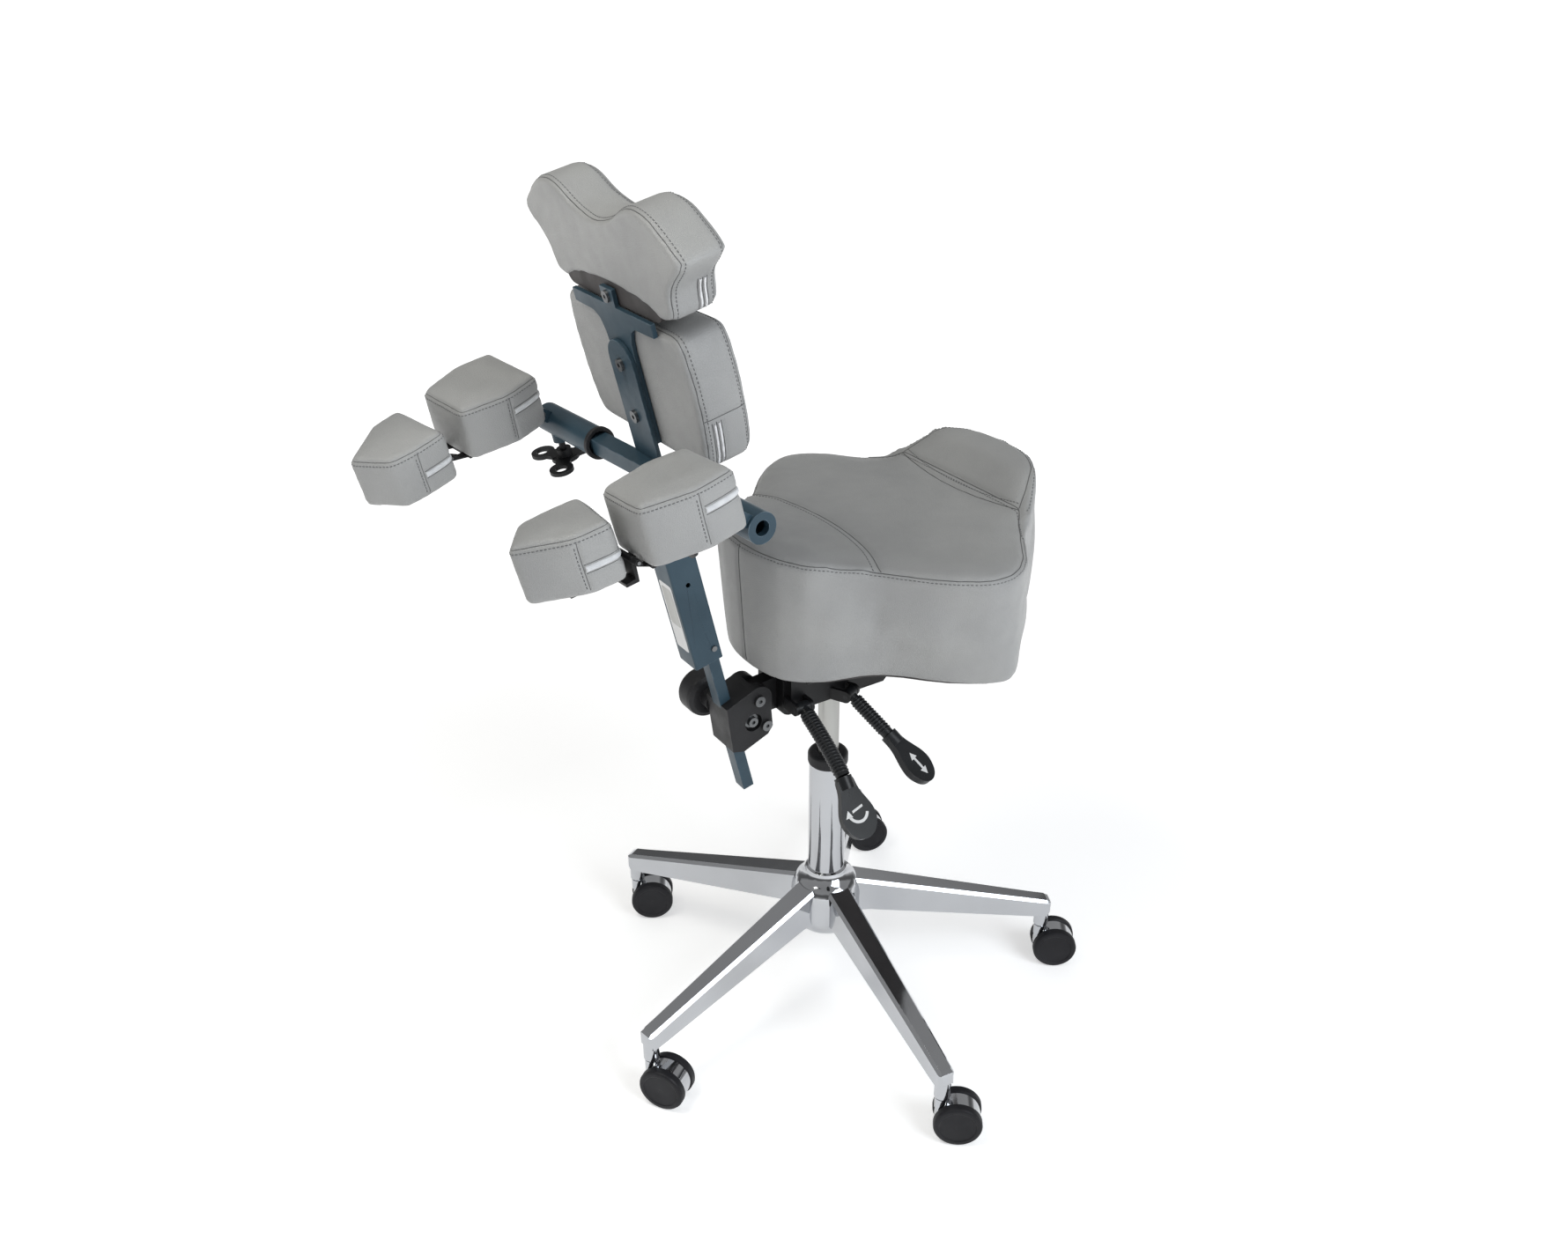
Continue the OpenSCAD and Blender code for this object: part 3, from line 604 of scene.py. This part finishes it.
SEAT_Z = 560
seat_low = both_sides([
    (130, 0), (127, 35), (118, 62), (100, 82), (75, 98), (50, 106), (30, 112), (10, 122),
    (-10, 140), (-30, 163), (-50, 183), (-70, 198), (-90, 211), (-112, 218), (-134, 206),
    (-156, 180), (-178, 149), (-208, 127), (-238, 98), (-260, 58), (-268, 0)])
seat_high = both_sides([
    (138, 0), (135, 36), (126, 68), (106, 101), (76, 116), (50, 128), (30, 143), (10, 166),
    (-10, 189), (-30, 207), (-50, 221), (-70, 230), (-92, 230), (-114, 222), (-137, 206),
    (-158, 181), (-180, 152), (-207, 131), (-239, 102), (-266, 60), (-276, 0)])
# side view of the top: forward distance and height
seat_crown = [(-290, 764), (-268, 776), (-250, 776), (-232, 766), (-212, 746), (-190, 726),
              (-160, 721), (-110, 720), (20, 720), (60, 725), (100, 732), (134, 734), (150, 726)]


def seat_top(x):
    xs, zs = zip(*seat_crown)
    return np.interp(x, xs, zs)


def seat_pad():
    low, high = np.array(seat_low, float), np.array(seat_high, float)
    shrink = 2.5
    rings = [(inward(low, shrink + r), SEAT_Z + h) for r, h in ((9, 0.5), (4, 2), (1, 5), (0, 10))]
    for t in (0.35, 0.65, 1.0):
        rings.append((inward(low * (1 - t) + high * t, shrink), SEAT_Z + 140 * t))
    rings.append((inward(high, shrink), 830))
    pad = prism("seat_upholstery", rings, CHAIR)
    n = len(seat_crown)
    side = [(x, z - shrink) for x, z in seat_crown]
    outline = [(-310, 540), (160, 540)] + [(x, z) for x, z in reversed(side)] + [(-310, 752)]
    verts = place(CHAIR, [(x, y, z) for y in (-260, 260) for x, z in outline])
    m = len(outline)
    faces = [tuple(range(m)), tuple(range(2 * m - 1, m - 1, -1))]
    faces += [(i, i + m, (i + 1) % m + m, (i + 1) % m) for i in range(m)]
    cutter = mesh_object("seat_cutter", verts, faces, LOOKS["grey_leatherette"])
    cut = pad.modifiers.new("crown", "BOOLEAN")
    cut.operation = "INTERSECT"
    cut.solver = "EXACT"
    cut.object = cutter
    bake(pad)
    bpy.data.objects.remove(cutter)
    stuff(pad, voxel=6.0, smooth=8, cap=5.0, clamp=keep_flat(CHAIR, SEAT_Z + 0.4, -1))
    return pad


def rim_line(drop):
    """Line round the top edge of the main panel, drop millimetres below it."""
    half = [(138, 0), (135, 36), (126, 68), (106, 101), (76, 116), (50, 128), (30, 143), (10, 166),
            (-10, 189), (-30, 207), (-50, 221), (-70, 229), (-92, 228), (-114, 216), (-137, 194),
            (-160, 163), (-182, 132), (-197, 114)]
    return [(x, y, seat_top(x) - drop) for x, y in half]


def mirrored(points):
    return [(x, -y, z) for x, y, z in points]


def seat():
    pad = seat_pad()
    trim = Trim(pad, "seat", CHAIR)
    lobe = [(-197, 114, 732), (-214, 104, 750), (-231, 92, 768), (-247, 78, 778), (-261, 50, 780),
            (-268, 20, 779), (-269, 0, 779)]
    across = [(-182 - 15 * (y / 114) ** 2, y, 728) for y in range(-114, 115, 6)]
    nose = [(3 + 28 * (y / 142) ** 2, y, seat_top(10)) for y in range(-142, 143, 8)]
    loop = rim_line(1) + mirrored(rim_line(1))[::-1]
    trim.seam(loop)
    trim.seam(lobe + mirrored(lobe)[::-1])
    trim.seam(across)
    trim.seam(nose)
    trim.seam([(136, 0, 728), (134, 0, 640), (130, 0, 566)])
    below = rim_line(9)
    trim.row(below + mirrored(below)[::-1])
    trim.row([(x - 7, y * 0.98, z + 4) for x, y, z in across])
    trim.row([(x + 7, y * 0.98, z) for x, y, z in nose])
    trim.row([(x - 4, y * 1.09, z - 5) for x, y, z in lobe + mirrored(lobe)[::-1]])
    trim.finish(depth=1.6, width=4.0, pitch=5.0, length=3.2, line=0.6)
    finish_pad(pad, "seat_cushion", "seat")


# ------------------------------------------------------- chest and head pads

CHEST_FRONT, CHEST_BACK = -16.5, -78.5
HEAD_FRONT, HEAD_BACK = -15.5, -75.5
chest_outline = [(-119, 20), (119, 20), (130, 60), (134, 110), (130, 150), (122, 178),
                 (-122, 178), (-130, 150), (-134, 110), (-130, 60)]
head_half = [(38, 283), (68, 299), (92, 304), (122, 298), (162, 270), (173, 258), (160, 244),
             (138, 228), (131, 214), (130, 198), (122, 187)]
head_outline = ([(0, 274)] + head_half + [(-u, v) for u, v in head_half[::-1]])[::-1]


def plate_pad(name, outline, back, front, corner, voxel, smooth, cap, clamp):
    plan = inward(even(rounded(outline, corner), 4.0), 3.0)
    rings = soft_rings(plan, back + 3.0, front - 0.3, 4.0, 9.0)
    pad = prism(name, rings, PLATE)
    stuff(pad, voxel, smooth, cap, clamp)
    return pad


def chest():
    pad = plate_pad("chest_upholstery", chest_outline, CHEST_BACK, CHEST_FRONT, 18, 4.5, 5, 6.0,
                    keep_flat(PLATE, CHEST_FRONT - 0.2, 1))
    trim = Trim(pad, "mast", PLATE)
    edge = even(rounded(chest_outline, 18), 4.0)
    for w, row in ((CHEST_FRONT - 3, -6), (CHEST_BACK + 3, 6)):
        trim.seam([(u, v, w) for u, v in edge], True)
        trim.row([(u, v, w + row) for u, v in edge], True)
    for side in (-1, 1):
        trim.seam([(side * 133, 84, CHEST_FRONT - 4), (side * 133, 84, CHEST_BACK + 4)])
        for w in (-30, -35.5, -41):
            trim.seam([(side * 130, 80, w), (side * 126, 50, w), (side * 119, 22, w)])
    trim.finish()
    for side, label in ((1, "left"), (-1, "right")):
        for k, w in enumerate((-32.8, -38.2)):
            path = [(side * 131, 78, w), (side * 126, 50, w), (side * 120, 22, w)]
            trim.ribbon(f"chest_{label}_lining_{k + 1}", path, 2.7, lining, 0.7)
    finish_pad(pad, "chest_pad", "mast")


def head():
    flat = keep_flat(PLATE, HEAD_FRONT - 0.2, 1)
    inverse = PLATE.inverted()

    def arch(co):
        """Rolls the lower front edge back over an arch, so that the board shows."""
        local = place(inverse, flat(co))
        level = np.hypot(local[:, 0] / 98, (local[:, 1] - 184) / 21)
        sink = np.clip((1.12 - level) / 0.16, 0, 1)
        depth = HEAD_FRONT - 15.5 * sink * sink * (3 - 2 * sink)
        local[:, 2] = np.where(level < 1.12, np.minimum(local[:, 2], depth), local[:, 2])
        return place(PLATE, local)

    pad = plate_pad("head_upholstery", head_outline, HEAD_BACK, HEAD_FRONT, 14, 4.0, 5, 6.0, arch)
    trim = Trim(pad, "mast", PLATE)
    edge = even(rounded(head_outline, 14), 4.0)
    front = [(u, v, HEAD_FRONT - 3) for u, v in edge if v > 200 or abs(u) > 110]
    start = next(i for i in range(len(front))
                 if hypot(front[i][0] - front[i - 1][0], front[i][1] - front[i - 1][1]) > 60)
    front = front[start:] + front[:start]
    trim.seam(front)
    trim.row([(u, v, w - 6) for u, v, w in front])
    trim.seam([(u, v, HEAD_BACK + 3) for u, v in edge], True)
    trim.row([(u, v, HEAD_BACK + 9) for u, v in edge], True)
    for side in (-1, 1):
        for w in (-49, -54.5, -60):
            trim.seam([(side * 136, 226, w), (side * 130, 205, w), (side * 124, 189, w)])
    trim.finish()
    for side, label in ((1, "left"), (-1, "right")):
        for k, w in enumerate((-51.8, -57.2)):
            path = [(side * 136, 225, w), (side * 130, 205, w), (side * 124, 189, w)]
            trim.ribbon(f"head_{label}_lining_{k + 1}", path, 2.7, lining, 0.7)
    finish_pad(pad, "head_pad", "mast")


# ----------------------------------------------------------------- arm pads


def widest_gap(points):
    """Index of the point after the widest gap of a closed line."""
    return max(range(len(points)), key=lambda i: hypot(points[i][0] - points[i - 1][0],
                                                       points[i][1] - points[i - 1][1]))


ELBOW_H, HAND_H = 66, 64
elbow_plan = [(58, -39.5), (58, 39.5), (0, 54.5), (-47, 46.5), (-47, -46.5), (0, -54.5)]
hand_plan = [(0, -44.25), (41, -44), (72, -39), (97.5, 9), (47.5, 40), (41, 44), (0, 44.25)]


def arm_pad(name, node, body, matrix, plan, height, seam_u, strip_w):
    outline = rounded(plan, 8)
    pad = prism(name, soft_rings(inward(even(outline, 3.0), 1.6), -height, -1.8, 6.0, 4.5), matrix)
    stuff(pad, 3.2, 5, 4.0, keep_flat(matrix, -height + 0.1, -1))
    trim = Trim(pad, body, matrix)
    edge = even(outline, 2.5)
    trim.seam([(u, v, -2.0) for u, v in edge], True)
    trim.row([(u, v, -8.5) for u, v in edge], True)
    half_width = np.interp(seam_u, *zip(*sorted((u, v) for u, v in plan if v > 0)))
    for side in (-1, 1):
        face = side * (half_width + 2)
        trim.seam([(seam_u, face, -9), (seam_u + 1, face, -height / 2),
                   (seam_u + 1, face, -height + 4)])
        trim.row([(seam_u + 4, face, -13), (seam_u + 5, face, -height + 5)])
    rear = min(u for u, v in plan)
    back = [(u, v) for u, v in even(outline, 2.5) if u < seam_u - 1]
    gap = widest_gap(back)
    back = back[gap:] + back[:gap]
    strip = [(u - (u - rear < 1), v, strip_w) for u, v in back]
    for shift in (-4.4, 4.4):
        trim.seam([(u, v, w + shift) for u, v, w in strip])
    trim.finish(depth=1.1, width=2.6, pitch=4.0, length=2.6, line=0.45)
    trim.ribbon(name + "_elastic", strip, 7.5, elastic, 0.9)
    finish_pad(pad, node, body)


def arm_pads():
    for side, sign in (("left", 1), ("right", -1)):
        hand = [(u, sign * v) for u, v in hand_plan]
        if sign < 0:
            hand = hand[::-1]
        arm_pad(side + "_elbow_upholstery", side + "_elbow_pad", side + "_elbow", ELBOW[side],
                elbow_plan, ELBOW_H, 0, -27)
        arm_pad(side + "_hand_upholstery", side + "_hand_pad", side + "_hand", HAND[side],
                hand, HAND_H, 41, -37)


# ------------------------------------------------------------------- levers

# root (x, y, z, yaw), sleeve start tilt, bend, length and radius, paddle (y, z, tilt)
LEVERS = {
    "tilt_lever": ((76, 51, 509, 0), -25, 13, 92, 9, (86.2, -54, -50)),
    "height_lever": ((5, 51, 506, 27), -38, 0, 60, 8, (55.4, -43.3, -39)),
}
RIB_PITCH, RIB_R = 4.2, 1.7


def sleeve_point(along, bend, length):
    """Centre of the bent sleeve and its outward direction, in the lever's tilted frame."""
    if bend == 0:
        return np.array((0, 10 + along, 0.0)), np.array((0, 0, 1.0))
    radius = length / radians(bend)
    a = along / radius
    return (np.array((0, 10 + radius * sin(a), radius * cos(a) - radius)),
            np.array((0, sin(a), cos(a))))


def ribs(name, root, tilt, bend, length, radius):
    matrix = (CHAIR @ Matrix.Translation(root[:3]) @ Matrix.Rotation(radians(root[3]), 4, "Z")
              @ Matrix.Rotation(radians(tilt), 4, "X"))
    points = []
    turns = (length - 6) / RIB_PITCH
    for k in range(int(turns * 18)):
        a = 2 * pi * k / 18
        centre, out = sleeve_point(2 + k / 18 * RIB_PITCH, bend, length)
        points.append(centre + (radius - 0.5) * (cos(a) * np.array((1, 0, 0)) + sin(a) * out))
    verts, faces = sweep([place(matrix, points)], [False], RIB_R, 8)
    obj = mesh_object(name + "_ribs", verts, faces, LOOKS["lever_black"])
    obj.data.shade_smooth()
    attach(obj, name)


def marks(name, root, paddle):
    """Plain white arrows on the paddle's face: up and down, or a curved tilt arrow."""
    matrix = (CHAIR @ Matrix.Translation(root[:3]) @ Matrix.Rotation(radians(root[3]), 4, "Z")
              @ Matrix.Translation((0, paddle[0], paddle[1]))
              @ Matrix.Rotation(radians(paddle[2]), 4, "X"))
    shapes = []
    if name == "height_lever":
        shapes.append([(-2, 44), (2, 44), (2, 60), (-2, 60)])
        shapes.append([(-6.5, 60), (6.5, 60), (0, 69)])
        shapes.append([(6.5, 44), (-6.5, 44), (0, 35)])
    else:
        arc = [radians(a) for a in range(20, 161, 10)]
        ring = [(15 * cos(a), 44 + 15 * sin(a)) for a in arc]
        shapes.append(ring + [(11.4 * cos(a), 44 + 11.4 * sin(a)) for a in reversed(arc)])
        shapes.append([(18.5, 49), (8.5, 49), (12.5, 40)])
        shapes.append([(-9, 38), (7, 42), (7, 45), (-9, 41)])
    verts, faces = [], []
    for shape in shapes:
        n, base = len(shape), len(verts)
        verts += [(x, y, z) for z in (4.3, 4.85) for x, y in shape]
        faces.append(tuple(base + i for i in range(n - 1, -1, -1)))
        faces.append(tuple(base + n + i for i in range(n)))
        faces += [(base + i, base + (i + 1) % n, base + n + (i + 1) % n, base + n + i)
                  for i in range(n)]
    obj = mesh_object(name + "_marks", place(matrix, verts), faces, print_white)
    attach(obj, name)


def levers():
    for name, (root, tilt, bend, length, radius, paddle) in LEVERS.items():
        ribs(name, root, tilt, bend, length, radius)
        marks(name, root, paddle)


def blank_label():
    """Plain white sticker on the front of the mast tube, with a grey panel over its upper part and no
    writing.
    """
    for part, (u, low, high, lift, mat) in {
            "label": (14, -240, -146, 16.15, print_white),
            "label_panel": (11, -205, -152, 16.3, LOOKS["galvanised_steel"])}.items():
        outline = even(rounded([(-u, low), (u, low), (u, high), (-u, high)], 3), 3.0)
        obj = prism("mast_" + part, [(outline, 15.9), (outline, lift)], PLATE)
        obj.data.materials.clear()
        obj.data.materials.append(mat)
        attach(obj, "mast")


# --------------------------------------------------------- floor, light, view


def world_light():
    """Studio surround: pale at the horizon and above, grey between for the metal to mirror."""
    world = bpy.data.worlds.new("studio")
    bpy.context.scene.world = world
    world.use_nodes = True
    tree = world.node_tree
    coords_node = add_node(tree, "TexCoord")
    split = add_node(tree, "SeparateXYZ")
    tree.links.new(coords_node.outputs["Generated"], split.inputs[0])
    color = ramp(tree, split.outputs["Z"], [(0.0, grey(1.2)), (0.08, grey(0.6)), (0.2, grey(0.22)),
                                            (0.36, grey(0.2)), (0.46, grey(0.6)), (1.0, grey(0.5))])
    tree.links.new(color, tree.nodes["Background"].inputs["Color"])
    tree.nodes["Background"].inputs["Strength"].default_value = 0.72


def area_light(name, position, target, size, watts, tint=(1, 1, 1)):
    data = bpy.data.lights.new(name, "AREA")
    data.size = size
    data.energy = watts
    data.color = tint
    lamp = bpy.data.objects.new(name, data)
    bpy.context.collection.objects.link(lamp)
    lamp.location = position
    lamp.rotation_euler = (Vector(target) - Vector(position)).to_track_quat("-Z", "Y").to_euler()


def stage():
    """Pale floor that glows a little, and more away from the chair, with two soft lamps."""
    size = 60.0
    paint, tree, shader = new_material("floor_paint", (0.9, 0.9, 0.9), 0.8)
    shader.inputs["Emission Color"].default_value = (1, 1, 1, 1)
    distance = add_node(tree, "VectorMath", operation="LENGTH")
    tree.links.new(object_space(tree, (0.2, 0.2, 0.2)), distance.inputs[0])
    glow = ramp(tree, distance.outputs["Value"], [(0.15, grey(0.42)), (0.5, grey(0.82))])
    tree.links.new(glow, shader.inputs["Emission Strength"])
    mesh_object("floor", [(-size, -size, 0), (size, -size, 0), (size, size, 0),
                                   (-size, size, 0)], [(0, 1, 2, 3)], paint)
    world_light()
    area_light("key", (-0.6, 2.4, 2.0), (0, 0, 1.1), 1.6, 54, (0.90, 0.95, 1.0))
    area_light("top", (0.9, -0.1, 2.2), (0.4, 0.1, 0.9), 0.9, 15, (1.0, 0.985, 0.92))


def camera():
    """Same view as the reference: three-quarter from the front left, looking down."""
    data = bpy.data.cameras.new("camera")
    data.sensor_width = 36
    data.lens = 32.55
    obj = bpy.data.objects.new("camera", data)
    bpy.context.collection.objects.link(obj)
    obj.location = CHAIR @ Vector((914.1, 1281.5, 1416.9))
    direction = Vector((-0.48520, -0.73632, -0.47162))
    obj.rotation_euler = direction.to_track_quat("-Z", "Y").to_euler()
    bpy.context.scene.camera = obj


camera()
stage()
seat()
chest()
head()
arm_pads()
levers()
blank_label()

bpy.context.scene.view_settings.view_transform = "Standard"
